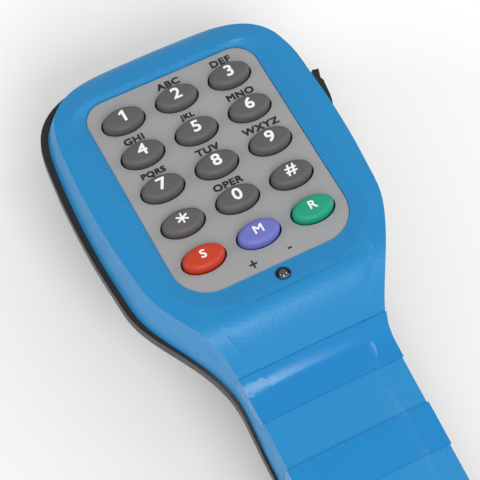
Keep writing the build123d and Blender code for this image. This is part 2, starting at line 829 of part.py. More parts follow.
# ---------------------------------------------------------------- belt clip
hub_r = 3.3
arm_low_z = clip_pin_z + hub_r - clip_thickness
with BuildPart() as belt_clip:
    with BuildSketch(Plane.YZ.offset(-clip_half_width)):
        with Locations((clip_pin_y, clip_pin_z)):
            Circle(hub_r)
        with BuildLine():
            tip_y = clip_pin_y + clip_reach
            thumb_y = tail_end_y - 0.5
            Polyline((clip_pin_y, arm_low_z), (tip_y - 3, arm_low_z), (tip_y - 2.2, arm_low_z - 3.2),
                     (tip_y, arm_low_z - 3.2), (tip_y, arm_low_z + clip_thickness - 1.2),
                     (tip_y - 1.2, arm_low_z + clip_thickness),
                     (clip_pin_y, arm_low_z + clip_thickness), (thumb_y, clip_pin_z + 7.6),
                     (thumb_y, clip_pin_z + 5.4), (clip_pin_y - 2.4, clip_pin_z + 0.6),
                     (clip_pin_y, arm_low_z))
        make_face()
    extrude(amount=2 * clip_half_width)
    with BuildSketch(Plane.YZ):
        with Locations((clip_pin_y, clip_pin_z)):
            Circle(clip_pin_r + running_gap)
    extrude(amount=clip_half_width + 1, both=True, mode=Mode.SUBTRACT)
    with BuildSketch(Plane.YZ):
        with Locations((clip_pin_y, clip_pin_z)):
            Circle(hub_r + 1.2)
    extrude(amount=4.6, both=True, mode=Mode.SUBTRACT)
pieces["belt_clip"] = belt_clip

with BuildPart() as clip_pin:
    with BuildSketch(Plane.YZ):
        with Locations((clip_pin_y, clip_pin_z)):
            Circle(clip_pin_r)
    extrude(amount=clip_half_width + 3.4, both=True)
    chamfer(clip_pin.edges().filter_by(GeomType.CIRCLE), 0.3)
pieces["clip_pin"] = clip_pin

wire_r = 0.45
with BuildPart() as clip_spring:
    with BuildSketch(Plane.XY.offset(clip_pin_z)):
        with Locations((0, clip_pin_y + clip_pin_r + 0.3 + wire_r)):
            with GridLocations(1.9 * wire_r, 0, 9, 1):
                Circle(wire_r)
    revolve(axis=Axis((0, clip_pin_y, clip_pin_z), (1, 0, 0)))
pieces["clip_spring"] = clip_spring


# ---------------------------------------------------------------- cord inlet
gland_flange_r = 5.8
inner_wall_y = tail_end_y + wall
with BuildPart() as cord_gland:
    with BuildSketch(Plane.XZ.offset(-inner_wall_y)):
        with Locations((0, gland_z)):
            Circle(gland_r)
    extrude(amount=wall + rim_proud)
    with BuildSketch(Plane.XZ.offset(-tail_end_y + rim_proud)):
        with Locations((0, gland_z)):
            Circle(gland_flange_r)
    extrude(amount=1.3)
    fillet(cord_gland.edges().group_by(Axis.Y)[0], 0.8)
    with BuildSketch(Plane.XZ.offset(-inner_wall_y)):
        with Locations((0, gland_z)):
            Circle(gland_flange_r)
    extrude(amount=-1.5)
    with BuildSketch(Plane.XZ.offset(-inner_wall_y - 2)):
        with Locations((0, gland_z)):
            Circle(cord_r)
    extrude(amount=8, mode=Mode.SUBTRACT)
pieces["cord_gland"] = cord_gland

clamp_z = gland_z + 2
with BuildPart() as cord_clamp:
    with BuildSketch(Plane.XY.offset(clamp_z)):
        with Locations((0, clamp_y)):
            SlotOverall(22, 5.6)
        with Locations(*[(x, clamp_y) for x in clamp_places]):
            Circle(1.3, mode=Mode.SUBTRACT)
    extrude(amount=3)
    with BuildSketch(Plane.XZ.offset(-clamp_y - 4)):
        with Locations((0, gland_z)):
            Circle(cord_r + 0.3)
    extrude(amount=8, mode=Mode.SUBTRACT)
pieces["cord_clamp"] = cord_clamp

with BuildPart() as clamp_screws:
    with BuildSketch(Plane.XY.offset(clamp_z + 3)):
        with Locations(*[(x, clamp_y) for x in clamp_places]):
            Circle(2.0)
    extrude(amount=1.6)
    with BuildSketch(Plane.XY.offset(clamp_z + 3)):
        with Locations(*[(x, clamp_y) for x in clamp_places]):
            Circle(1.0)
    extrude(amount=-8)
pieces["clamp_screws"] = clamp_screws


# ---------------------------------------------------------------- shell screws
with BuildPart() as shell_screws:
    for x, y in screw_places:
        seat = screw_seat_z(y)
        with BuildSketch(Plane.XY.offset(seat - screw_head_height)):
            with Locations((x, y)):
                Circle(screw_head_r)
        extrude(amount=screw_head_height)
        with BuildSketch(Plane.XY.offset(seat)):
            with Locations((x, y)):
                Circle(screw_r - 0.25)
        extrude(amount=screw_below_parting + screw_above_parting)
        with BuildSketch(Plane.XY.offset(seat - screw_head_height)):
            with Locations((x, y)):
                Rectangle(3.4, 0.8)
                Rectangle(0.8, 3.4)
        extrude(amount=1.1, mode=Mode.SUBTRACT)
pieces["shell_screws"] = shell_screws


# ---------------------------------------------------------------- one file for each piece
os.makedirs("parts", exist_ok=True)
for name, piece in pieces.items():
    piece.part.label = name
    export_step(piece.part, f"parts/{name}.step")
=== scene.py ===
# %% [markdown]
# # A lineman's telephone test set
# The real object is a handset in one piece: a blue front shell with a tilted dial pad, a black
# back shell with the earpiece and the mouthpiece, a side lever and a belt clip.
# The imported model holds every size and every joint.  This script only dresses it, so it starts
# by loading that model and laying each part's points where they stand in the world.

import bmesh
import bpy
import json
import math
from mathutils import Matrix, Vector


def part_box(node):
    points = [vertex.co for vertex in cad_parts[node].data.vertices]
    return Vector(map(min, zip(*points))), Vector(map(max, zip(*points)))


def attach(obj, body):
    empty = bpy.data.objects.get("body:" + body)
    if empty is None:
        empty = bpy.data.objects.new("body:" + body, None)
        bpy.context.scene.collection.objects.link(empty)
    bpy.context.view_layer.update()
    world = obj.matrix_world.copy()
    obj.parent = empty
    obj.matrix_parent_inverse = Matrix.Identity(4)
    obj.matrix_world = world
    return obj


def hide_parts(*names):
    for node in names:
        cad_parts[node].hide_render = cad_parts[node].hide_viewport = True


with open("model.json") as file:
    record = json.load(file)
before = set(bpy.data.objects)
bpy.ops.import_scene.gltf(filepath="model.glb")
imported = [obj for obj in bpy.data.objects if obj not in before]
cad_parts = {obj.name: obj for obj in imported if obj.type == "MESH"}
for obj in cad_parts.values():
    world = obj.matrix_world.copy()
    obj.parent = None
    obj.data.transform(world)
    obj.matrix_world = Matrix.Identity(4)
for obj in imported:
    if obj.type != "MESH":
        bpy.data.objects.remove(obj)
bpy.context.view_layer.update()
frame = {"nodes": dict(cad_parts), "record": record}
nodes = frame["nodes"]
mm = 0.001

# %% [markdown]
# The dial pad leans towards the handle by 10 degrees, and nearly everything that a person looks
# at lies on it.  So the pad gets a matrix of its own: x to the right, y up the pad, z out of it,
# with its origin on the plate under the "2" key.  The plate's box gives the place.

# %% The dial pad's own axes
pad_tilt = math.radians(10)
plate_top_y = 7.8 * mm
plate_bottom_y = 54.0 * mm
plate_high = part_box("keypad_plate")[1]
pad_origin = Vector((0,
                     plate_high[1] - plate_top_y * math.cos(pad_tilt),
                     plate_high[2] - plate_bottom_y * math.sin(pad_tilt)))
pad = Matrix.Translation(pad_origin) @ Matrix.Rotation(-pad_tilt, 4, "X")
key_pitch_x = 15.0 * mm
key_pitch_y = 11.15 * mm
print("pad origin", [round(v, 4) for v in pad_origin])

# %% [markdown]
# The camera looks down at the head from the lower left with a long lens.  Its place is given by
# a turn, a height angle and a distance from a point on the pad, measured in the pad's axes,
# because the pad is what it looks at.

# %% Camera
look_turn = math.radians(27.5)
look_down = math.radians(60.41)
look_distance = 0.46324
look_at = Vector((-5.1, -44.5, 1.3)) * mm

forward = Vector((math.sin(look_turn) * math.cos(look_down),
                  math.cos(look_turn) * math.cos(look_down),
                  -math.sin(look_down)))
right = Vector((math.cos(look_turn), -math.sin(look_turn), 0))
above = right.cross(forward)
turned = Matrix((right, above, -forward)).transposed().to_4x4()
camera = bpy.data.objects.new("camera", bpy.data.cameras.new("camera"))
camera.data.lens = 143.4
camera.data.sensor_width = 36.0
camera.matrix_world = pad @ Matrix.Translation(look_at - forward * look_distance) @ turned
camera.data.clip_start = 0.01
bpy.context.scene.collection.objects.link(camera)
bpy.context.scene.camera = camera
print("camera", [round(v, 3) for v in camera.matrix_world.translation])

# %% [markdown]
# Product light is soft and comes from above: one big panel over the handle lights the neck and
# the keys, and a smaller one at each side puts highlights on the rounded edges.
# The floor is a plain pale plane, and it belongs to the stage, not to the object.

# %% Floor and light
scene = bpy.context.scene
scene.view_settings.view_transform = "Standard"
scene.view_settings.look = "None"


def soft_light(name, place, aim, size, watts):
    """A square panel of light that faces aim."""
    light = bpy.data.lights.new(name, "AREA")
    light.shape = "SQUARE"
    light.size = size
    light.energy = watts
    panel = bpy.data.objects.new(name, light)
    facing = (Vector(aim) - Vector(place)).to_track_quat("-Z", "Y")
    panel.matrix_world = Matrix.Translation(place) @ facing.to_matrix().to_4x4()
    scene.collection.objects.link(panel)
    return panel


head = (0, 0.06, 0.04)
soft_light("panel_over_handle", (-0.1, -0.75, 1.0), head, 0.7, 8.0)
soft_light("panel_left", (-1.0, 0.25, 0.55), head, 0.5, 2.6)
soft_light("panel_right", (1.0, 0.0, 0.55), head, 0.5, 3.2)

room = bpy.data.worlds.new("pale_room")
room.use_nodes = True
room.node_tree.nodes["Background"].inputs["Color"].default_value = (1.0, 1.0, 1.0, 1)
room.node_tree.nodes["Background"].inputs["Strength"].default_value = 0.60
scene.world = room

floor_mesh = bpy.data.meshes.new("floor")
floor_reach = 4.0
floor_mesh.from_pydata([(-floor_reach, -floor_reach, 0), (floor_reach, -floor_reach, 0),
                        (floor_reach, floor_reach, 0), (-floor_reach, floor_reach, 0)],
                       [], [(0, 1, 2, 3)])
floor = bpy.data.objects.new("floor", floor_mesh)
scene.collection.objects.link(floor)
floor_paint = bpy.data.materials.new("pale_floor")
floor_paint.use_nodes = True
floor_shader = floor_paint.node_tree.nodes["Principled BSDF"]
floor_shader.inputs["Base Color"].default_value = (0.93, 0.93, 0.93, 1)
floor_shader.inputs["Roughness"].default_value = 0.9
floor_mesh.materials.append(floor_paint)

# %% [markdown]
# ## Finishes
# Moulded plastic is never one flat colour: the mould is spark-eroded, which leaves a fine grain,
# the colour drifts a little over the part, and hands polish some places more than others.
# One function makes that: slow noise drifts the colour, middle noise drifts the roughness and
# fine noise raises the grain.  All of it reads Object coordinates, so it stays put on the piece.

# %% The finish maker
material_by_name = {}


def finish(name, colour, rough, grain_mm, grain_depth_mm, drift=0.06, rough_drift=0.06,
           metallic=0.0, coat=0.0, specular=0.5, stretch=(1, 1, 1)):
    """A material with colour drift, uneven gloss and a raised grain."""
    material = bpy.data.materials.new(name)
    material.use_nodes = True
    tree = material.node_tree
    shader = tree.nodes["Principled BSDF"]
    shader.inputs["Metallic"].default_value = metallic
    shader.inputs["Coat Weight"].default_value = coat
    shader.inputs["Specular IOR Level"].default_value = specular
    place = tree.nodes.new("ShaderNodeTexCoord")
    stretched = tree.nodes.new("ShaderNodeMapping")
    stretched.inputs["Scale"].default_value = stretch
    tree.links.new(place.outputs["Object"], stretched.inputs["Vector"])

    slow = tree.nodes.new("ShaderNodeTexNoise")
    slow.inputs["Scale"].default_value = 45.0
    slow.inputs["Detail"].default_value = 4.0
    tree.links.new(place.outputs["Object"], slow.inputs["Vector"])
    shades = tree.nodes.new("ShaderNodeMix")
    shades.data_type = "RGBA"
    darker = [c * (1 - drift) for c in colour]
    lighter = [min(c * (1 + drift) + 0.004 * drift, 1.0) for c in colour]
    shades.inputs["A"].default_value = (*darker, 1)
    shades.inputs["B"].default_value = (*lighter, 1)
    tree.links.new(slow.outputs["Fac"], shades.inputs["Factor"])
    tree.links.new(shades.outputs["Result"], shader.inputs["Base Color"])

    wear = tree.nodes.new("ShaderNodeTexNoise")
    wear.inputs["Scale"].default_value = 160.0
    wear.inputs["Detail"].default_value = 3.0
    tree.links.new(place.outputs["Object"], wear.inputs["Vector"])
    gloss = tree.nodes.new("ShaderNodeMapRange")
    gloss.inputs["To Min"].default_value = max(rough - rough_drift, 0.02)
    gloss.inputs["To Max"].default_value = min(rough + rough_drift, 1.0)
    tree.links.new(wear.outputs["Fac"], gloss.inputs["Value"])
    tree.links.new(gloss.outputs["Result"], shader.inputs["Roughness"])

    grain = tree.nodes.new("ShaderNodeTexNoise")
    grain.inputs["Scale"].default_value = 1000.0 / grain_mm
    grain.inputs["Detail"].default_value = 2.0
    tree.links.new(stretched.outputs["Vector"], grain.inputs["Vector"])
    raised = tree.nodes.new("ShaderNodeBump")
    raised.inputs["Strength"].default_value = 1.0
    raised.inputs["Distance"].default_value = grain_depth_mm * mm
    tree.links.new(grain.outputs["Fac"], raised.inputs["Height"])
    tree.links.new(raised.outputs["Normal"], shader.inputs["Normal"])
    material_by_name[name] = material
    return material


# %% [markdown]
# The colours below are linear light.  The two blues are one plastic: the mould is polished for
# the grip bands and spark-eroded everywhere else, so the bands are glossier and a touch deeper.

# %% Finishes, one for each kind of piece
shell_blue = (0.004, 0.222, 0.505)
blue_grained = finish("blue_grained_plastic", shell_blue, 0.40, 0.6, 0.11, drift=0.05)
blue_polished = finish("blue_polished_band", (0.0, 0.205, 0.500), 0.24, 3.0, 0.006,
                       drift=0.02, rough_drift=0.03)
finishes = {
    "blue_shell": blue_grained,
    "black_shell": finish("black_grained_plastic", (0.012, 0.010, 0.010), 0.42, 0.7, 0.04),
    "black_lever": finish("black_lever_plastic", (0.010, 0.010, 0.011), 0.38, 0.5, 0.02),
    "rubber_black": finish("matt_black_rubber", (0.014, 0.014, 0.014), 0.78, 0.4, 0.03),
    "grey_plate": finish("satin_grey_overlay", (0.36, 0.36, 0.365), 0.42, 0.35, 0.006,
                         drift=0.07, metallic=0.25),
    "grey_key": finish("grey_key_rubber", (0.096, 0.090, 0.086), 0.56, 0.3, 0.008, drift=0.08),
    "red_key": finish("red_key_rubber", (0.52, 0.034, 0.006), 0.50, 0.3, 0.008, drift=0.06),
    "purple_key": finish("purple_key_rubber", (0.135, 0.155, 0.50), 0.50, 0.3, 0.008, drift=0.06),
    "green_key": finish("green_key_rubber", (0.001, 0.31, 0.175), 0.50, 0.3, 0.008, drift=0.06),
    "silicone": finish("grey_silicone", (0.42, 0.42, 0.40), 0.50, 0.5, 0.01),
    "circuit_board": finish("green_solder_mask", (0.010, 0.11, 0.035), 0.30, 1.2, 0.01),
    "steel": finish("zinc_plated_steel", (0.56, 0.56, 0.57), 0.30, 0.3, 0.006, metallic=1.0,
                    stretch=(1, 1, 8)),
    "brass": finish("turned_brass", (0.60, 0.42, 0.13), 0.30, 0.3, 0.006, metallic=1.0),
    "chip": finish("black_epoxy", (0.018, 0.018, 0.019), 0.55, 0.3, 0.01),
    "tin": finish("drawn_metal_can", (0.66, 0.66, 0.67), 0.28, 0.5, 0.006, metallic=1.0),
    "capacitor": finish("blue_shrink_sleeve", (0.010, 0.022, 0.10), 0.28, 1.0, 0.005),
    "led_lens": finish("smoked_lamp_lens", (0.030, 0.026, 0.034), 0.07, 2.0, 0.001,
                       rough_drift=0.02, coat=1.0, specular=0.8),
    "capsule": finish("dark_capsule", (0.04, 0.04, 0.042), 0.50, 0.5, 0.01),
    "iron": finish("stacked_iron", (0.10, 0.10, 0.105), 0.52, 0.3, 0.02, metallic=0.8,
                   stretch=(0.1, 0.1, 3)),
    "copper": finish("enamelled_copper", (0.46, 0.14, 0.045), 0.34, 0.35, 0.03, metallic=0.9,
                     stretch=(0.1, 0.1, 3)),
    "relay": finish("amber_relay_case", (0.66, 0.28, 0.02), 0.26, 1.0, 0.006),
    "ceramic": finish("glazed_ceramic", (0.62, 0.60, 0.55), 0.20, 1.5, 0.004, coat=0.5),
    "terminal_green": finish("green_terminal_plastic", (0.012, 0.20, 0.06), 0.42, 0.5, 0.02),
    "ribbon": finish("grey_ribbon_cable", (0.34, 0.34, 0.36), 0.50, 1.27, 0.2,
                     stretch=(1, 0.02, 0.02)),
}
white_ink = finish("white_key_ink", (0.86, 0.86, 0.85), 0.50, 0.3, 0.004, drift=0.02)
black_ink = finish("black_plate_ink", (0.010, 0.010, 0.011), 0.45, 0.3, 0.004, drift=0.05)
print("finishes", len(material_by_name))

# %% [markdown]
# ## The moulded pieces
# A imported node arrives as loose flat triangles, which show as facets on a curved shell.  The
# node itself has to stay as it is, so each piece that a person can see gets a copy: its doubled
# points are merged, and its faces are shaded smooth up to a sharp-edge angle.

# %% Smooth copies of the moulded pieces
slot_of = {row["node"]: row["material_slot"] for row in frame["record"]["subparts"]}
body_of = {node: body for body, members in frame["record"]["behaviour"]["bodies"].items()
           for node in members}


def add_piece(name, mesh, body, material):
    """Puts a finished mesh in the scene at the origin and lets it ride on a body."""
    piece = bpy.data.objects.new(name, mesh)
    scene.collection.objects.link(piece)
    if material is not None:
        mesh.materials.clear()
        mesh.materials.append(material)
    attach(piece, body)
    return piece


def smooth_copy(node, sharp_degrees=32):
    """The node's shape again with merged points and smooth shading; it stands for the node."""
    mesh = nodes[node].data.copy()
    mesh.name = node + "_skin"
    edit = bmesh.new()
    edit.from_mesh(mesh)
    bmesh.ops.remove_doubles(edit, verts=edit.verts, dist=0.002 * mm)
    bmesh.ops.dissolve_degenerate(edit, edges=edit.edges, dist=0.001 * mm)
    edit.to_mesh(mesh)
    edit.free()
    mesh.shade_smooth()
    mesh.set_sharp_from_angle(angle=math.radians(sharp_degrees))
    piece = add_piece(node + "_skin", mesh, body_of[node], finishes[slot_of[node]])
    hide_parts(node)
    return piece


outer_nodes = ["front_shell", "back_shell", "shell_gasket", "keypad_plate", "ear_cap",
               "ear_cushion", "mouth_cap", "talk_lever", "belt_clip", "clip_pin", "clip_spring",
               "cord_gland", "shell_screws"]
sharp_from = {"front_shell": 5, "back_shell": 22, "keypad_plate": 15}
skins = {node: smooth_copy(node, sharp_from.get(node, 32)) for node in outer_nodes}
for node, thing in nodes.items():
    if node not in skins:
        thing.data.materials.clear()
        thing.data.materials.append(finishes[slot_of[node]])
print("skins", {node: len(skin.data.polygons) for node, skin in skins.items()})

# %% [markdown]
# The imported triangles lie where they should, but many are long and thin, and a normal averaged
# over them makes a glossy shell look dented.  The shells are lofted through cross-sections that
# follow rules, so the true normal can be worked out instead: a section's outline is straight
# runs joined by one rounded corner on each side, and the slope of the distance to it, taken in
# all three directions, is the normal.  Only corners that lie on that skin get it.

# %% Rules of the cross-sections, in millimetres
head_end_y = 120.5
tail_end_y = -118.5
tail_corner_r = 14.0
head_round = 20.0
head_round_power = 3.5
head_half_width = 36.7
handle_half_width = 19.9
tail_half_width = 24.5
head_middle_y = 84.0
head_bulge = 0.0026
waist = (22, 58)
flare = (60, 95)
neck = (25, 43)
parting_run = (10, 50)
parting_handle_z = 30.5
parting_head_z = 35.5
parting_head_slope = 0.045
pad_y = 103.8
pad_z = 42.7
rim_height = 1.8
rim_depth = 4.0
handle_top_z = 43.5
handle_fall = 0.016
head_drop = 5.5
head_lift = 8.0
tail_drop = 0.42
tail_lift = 0.6
head_base_z = 11.0
handle_base_z = 14.5
tail_base_z = 6.0
base_head_run = (28, 54)
base_tail_run = (54, 78)
handle_slope_in = 5.5
head_slope_in = 9.0
front_foot_z = 30.0


def rise(start, end, value):
    """0 before start, 1 after end, and a smooth rise between."""
    t = min(max((value - start) / (end - start), 0.0), 1.0)
    return t * t * (3 - 2 * t)


def tail_closing(y):
    """How far the outline has drawn in at y towards the rounded tail."""
    past = min(max(tail_end_y + tail_corner_r - y, 0), tail_corner_r)
    return tail_corner_r - math.sqrt(tail_corner_r ** 2 - past ** 2)


def head_closing(y):
    """Share of the width that the bowed head end has lost at y."""
    t = min(max((y - head_end_y) / head_round + 1, 0.0), 0.998)
    return 1 - (1 - t ** head_round_power) ** (1 / head_round_power)


def half_width(y):
    """Half width of the handset at the joint between its shells."""
    handle = handle_half_width + rise(*flare, -y) * (tail_half_width - handle_half_width)
    wide = head_half_width - head_bulge * (y - head_middle_y) ** 2
    return handle + rise(*waist, y) * (wide - handle)


def joint_z(y):
    """Height of the joint between the shells."""
    wide = parting_head_z + parting_head_slope * (pad_y - y)
    return parting_handle_z + rise(*parting_run, y) * (wide - parting_handle_z)


def unshrunk(y, inset):
    """The station whose section an inset skin has at y."""
    middle = (head_end_y + tail_end_y) / 2
    half = (head_end_y - tail_end_y) / 2
    return middle + (y - middle) * half / (half - inset)


def front_section(y, inset):
    """Top arc (radius, middle height), side line (point, direction) and corner radius."""
    y = unshrunk(y, inset)
    in_head = rise(*waist, y)
    side = half_width(y) * (1 - head_closing(y)) - inset - tail_closing(y)
    handle_top = handle_top_z + handle_fall * (y - neck[0])
    rim_top = pad_z + rim_height / math.cos(pad_tilt) - (y - pad_y) * math.tan(pad_tilt)
    top = handle_top + rise(*neck, y) * (rim_top - handle_top)
    roof = top - inset - tail_drop * tail_closing(y) - head_drop * head_closing(y)
    shoulder = side - 0.8 - 2.0 * in_head
    eave_drop = 1.0 - 0.6 * in_head
    arc_r = (shoulder ** 2 + eave_drop ** 2) / (2 * eave_drop)
    corner_r = min(9.0 - 4.2 * in_head - 0.9 * inset, 0.75 * shoulder)
    foot = Vector((side, front_foot_z))
    along = (Vector((shoulder, roof - eave_drop)) - foot).normalized()
    return arc_r, roof - arc_r, foot, along, corner_r


def front_distance(x, y, z, inset):
    """How far a point lies outside the front skin, in its cross-section."""
    arc_r, arc_z, foot, along, corner_r = front_section(y, inset)
    point = Vector((abs(x), z))
    outward = Vector((along.y, -along.x))
    from_side = (point - foot).dot(outward)
    if point.y <= foot.y:
        return point.x - foot.x
    middle = Vector((0, arc_z))
    # the corner's centre lies corner_r inside both the side line and the top arc
    start = foot - outward * corner_r - middle
    reach = start.dot(along)
    lift = -reach + math.sqrt(max(reach ** 2 - start.length_squared
                                  + (arc_r - corner_r) ** 2, 0))
    centre = foot - outward * corner_r + along * lift
    to_point = point - centre
    upward = (centre - middle).normalized()
    beside_side = to_point.dot(along) < 0
    beside_top = to_point.x * upward.y - to_point.y * upward.x < 0
    if beside_side and not beside_top:
        return from_side
    if beside_top:
        return (point - middle).length - arc_r
    return to_point.length - corner_r


def back_distance(x, y, z, inset):
    """How far a point lies outside the back skin, in its cross-section."""
    y = unshrunk(y, inset)
    in_head = rise(*waist, y)
    side = half_width(y) * (1 - head_closing(y)) - inset - tail_closing(y)
    low = handle_base_z - (handle_base_z - tail_base_z) * rise(*base_tail_run, -y)
    low += rise(*base_head_run, y) * (head_base_z - handle_base_z)
    low += inset + tail_lift * tail_closing(y) + head_lift * head_closing(y)
    slope_in = handle_slope_in + (head_slope_in - handle_slope_in) * in_head
    sole = side * (1 - slope_in / half_width(y))
    rim_low = joint_z(y) - rim_depth
    point = Vector((abs(x), z))
    if point.y >= rim_low:
        return point.x - side
    corner_r = min(8.0 - 0.9 * inset, 0.6 * sole)
    foot = Vector((sole, low))
    along = (Vector((side, rim_low)) - foot).normalized()
    outward = Vector((along.y, -along.x))
    # the corner's centre lies corner_r inside both the sole and the slope
    lift = corner_r * (1 + outward.y) / along.y
    centre = foot - outward * corner_r + along * lift
    to_point = point - centre
    if to_point.dot(along) > 0:
        return (point - foot).dot(outward)
    if to_point.x < 0:
        return low - point.y
    return to_point.length - corner_r


# %% True normals on the skin
skin_slack = 0.42
skin_lean = math.cos(math.radians(18))
step = 0.05


def skin_normal(distance, x, y, z, inset):
    """Slope of the distance at a place: the direction that leads straight out."""
    slope = Vector((distance(x + step, y, z, inset) - distance(x - step, y, z, inset),
                    distance(x, y + step, z, inset) - distance(x, y - step, z, inset),
                    distance(x, y, z + step, inset) - distance(x, y, z - step, inset)))
    return slope.normalized()


def true_normals(node, distance, insets):
    """Gives a shell's outer skin the normals of its rule; other faces keep theirs."""
    mesh = skins[node].data
    places = [v.co / mm for v in mesh.vertices]
    kept = [Vector(corner.vector) for corner in mesh.corner_normals]
    changed = 0
    for inset in insets:
        on_skin = [abs(distance(*place, inset)) < skin_slack for place in places]
        known = {}
        for face in mesh.polygons:
            if not all(on_skin[v] for v in face.vertices):
                continue
            centre_normal = skin_normal(distance, *(face.center / mm), inset)
            if face.normal.dot(centre_normal) < skin_lean:
                continue
            for loop, v in zip(face.loop_indices, face.vertices):
                if v not in known:
                    known[v] = skin_normal(distance, *places[v], inset)
                kept[loop] = known[v]
            changed += 1
    mesh.normals_split_custom_set(kept)
    print(node, "faces with true normals", changed, "of", len(mesh.polygons))


true_normals("front_shell", front_distance, (0.0, -0.35))
true_normals("back_shell", back_distance, (-0.7,))

# %% [markdown]
# The grip bands stand a third of a millimetre proud of the handle and run down both sides.
# They are part of the shell's own mesh, so the polished finish goes on by face: a face belongs
# to a band when all of its corners lie inside the band's rounded outline seen from the side.

# %% Polished faces of the grip bands
band_first_y = 30.2 * mm
band_width = 11.4 * mm
band_pitch = 24.0 * mm
band_count = 4
band_corner = 3.5 * mm
shell_mesh = skins["front_shell"].data
shell_mesh.materials.append(blue_polished)


def band_low_z(number):
    """Height at which a band ends on the handle's side: the lowest proud corner near it."""
    middle = band_first_y - number * band_pitch - band_width / 2
    edge = band_width / 2
    heights = [v.co.z for v in shell_mesh.vertices
               if abs(v.co.y - middle) < edge * 0.4 and abs(v.co.x) > 0.0195]
    return min((z for z in heights if z > parting_near(middle) + 4 * mm), default=0.0365)


def parting_near(y):
    """Height of the joint between the shells near y, read from the gasket's upper edge."""
    tops = [v.co.z for v in skins["shell_gasket"].data.vertices if abs(v.co.y - y) < 6 * mm]
    return max(tops, default=0.031)


def in_band(point, low_y, low_z):
    """True inside the band's outline, whose lower corners are rounded."""
    slack = 0.03 * mm
    across = min(point.y - low_y, low_y + band_width - point.y)
    up = point.z - low_z
    if across < -slack or up < -slack:
        return False
    if across < band_corner and up < band_corner:
        reach = math.hypot(band_corner - across, band_corner - up)
        return reach < band_corner + slack
    return True


band_faces = 0
for number in range(band_count):
    low_y = band_first_y - number * band_pitch - band_width
    low_z = band_low_z(number)
    for face in shell_mesh.polygons:
        if abs(face.center.y - low_y - band_width / 2) > band_width / 2:
            continue
        if all(in_band(shell_mesh.vertices[v].co, low_y, low_z) for v in face.vertices):
            face.material_index = 1
            band_faces += 1
print("band faces", band_faces)

# %% [markdown]
# ## Keys
# Each key is an oval button of soft rubber with a rolled shoulder and a slightly crowned top.
# The crown is what makes the light slide over it, and a flat top would look like a cut sheet.
# Its section is a short rule from the flange up to the crown, so the mesh is built from rings
# round that section, closed at the top and the bottom with a fan.

# %% One key from rings
key_half_length = 5.5 * mm
key_half_width = 3.35 * mm
key_height = 2.4 * mm
key_low = -4.0 * mm
key_flange = 1.1 * mm
key_shoulder_r = 1.15 * mm
key_crown = 0.32 * mm
ring_points = 56


def crown_height(x, y):
    """Height of a key's top over the plate, at a place measured from the key's middle."""
    share = math.hypot(x / key_half_length, y / key_half_width)
    return key_height - key_crown * share ** 2


def key_rings():
    """(half length, half width, height) of each ring, from the underside to the crown."""
    wide = (key_half_length + key_flange, key_half_width + key_flange)
    rings = [(*wide, key_low), (*wide, key_low + 1 * mm),
             (key_half_length, key_half_width, key_low + 1 * mm)]
    edge_z = key_height - key_crown
    rings.append((key_half_length, key_half_width, edge_z - key_shoulder_r * 1.05))
    for step in range(1, 8):
        turn = math.radians(step * 90 / 8)
        draw = key_shoulder_r * (1 - math.cos(turn))
        half_l = key_half_length - draw
        half_w = key_half_width - draw
        sunk = key_shoulder_r * (1 - math.sin(turn))
        share = half_w / key_half_width
        rings.append((half_l, half_w, key_height - key_crown * share ** 2 - sunk))
    last_l = key_half_length - key_shoulder_r
    last_w = key_half_width - key_shoulder_r
    for share in (1.0, 0.8, 0.6, 0.4, 0.2):
        middle = last_w / key_half_width * share
        rings.append((last_l * share, last_w * share, key_height - key_crown * middle ** 2))
    return rings


def key_mesh(name, middle):
    """A closed key, drawn round its middle on the pad and then placed."""
    mesh = bpy.data.meshes.new(name)
    edit = bmesh.new()
    turns = [2 * math.pi * i / ring_points for i in range(ring_points)]
    loops = [[edit.verts.new((half_l * math.cos(a), half_w * math.sin(a), z)) for a in turns]
             for half_l, half_w, z in key_rings()]
    for lower, upper in zip(loops, loops[1:]):
        for i in range(ring_points):
            j = (i + 1) % ring_points
            edit.faces.new((lower[i], lower[j], upper[j], upper[i]))
    under = edit.verts.new((0, 0, key_low))
    crown = edit.verts.new((0, 0, key_height))
    for i in range(ring_points):
        j = (i + 1) % ring_points
        edit.faces.new((under, loops[0][j], loops[0][i]))
        edit.faces.new((crown, loops[-1][i], loops[-1][j]))
    bmesh.ops.recalc_face_normals(edit, faces=edit.faces)
    edit.to_mesh(mesh)
    edit.free()
    mesh.transform(pad @ Matrix.Translation((middle[0], middle[1], 0)))
    mesh.shade_smooth()
    mesh.set_sharp_from_angle(angle=math.radians(40))
    return mesh


# %% All fifteen keys
key_names = ["1", "2", "3", "4", "5", "6", "7", "8", "9", "star", "0", "hash",
             "store", "memory", "redial"]
key_middles = {}
for index, key_name in enumerate(key_names):
    row, column = divmod(index, 3)
    key_middles[key_name] = ((column - 1) * key_pitch_x, -row * key_pitch_y)
for key_name, middle in key_middles.items():
    node = "key_" + key_name
    slot_name = slot_of[node]
    button = add_piece("button_" + key_name, key_mesh("button_" + key_name, middle),
                       body_of[node], finishes[slot_name])
    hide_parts(node)
print("keys", len(key_middles))

# %% [markdown]
# ## The indicator lamp
# The lamp is a smoked lens that shows as a dark dome in its hole, with a thin ring round it.
# Both are turned shapes, so a section is spun round the lamp's middle: the lens stands for the
# packed lamp, and the ring lies in the mouth of the hole and follows the slope of the dish.

# %% Lens and ring
lamp_y = -57.2 * mm
lens_r = 1.45 * mm
lens_top = 1.5 * mm
lens_low = -5.6 * mm
turned_steps = 40


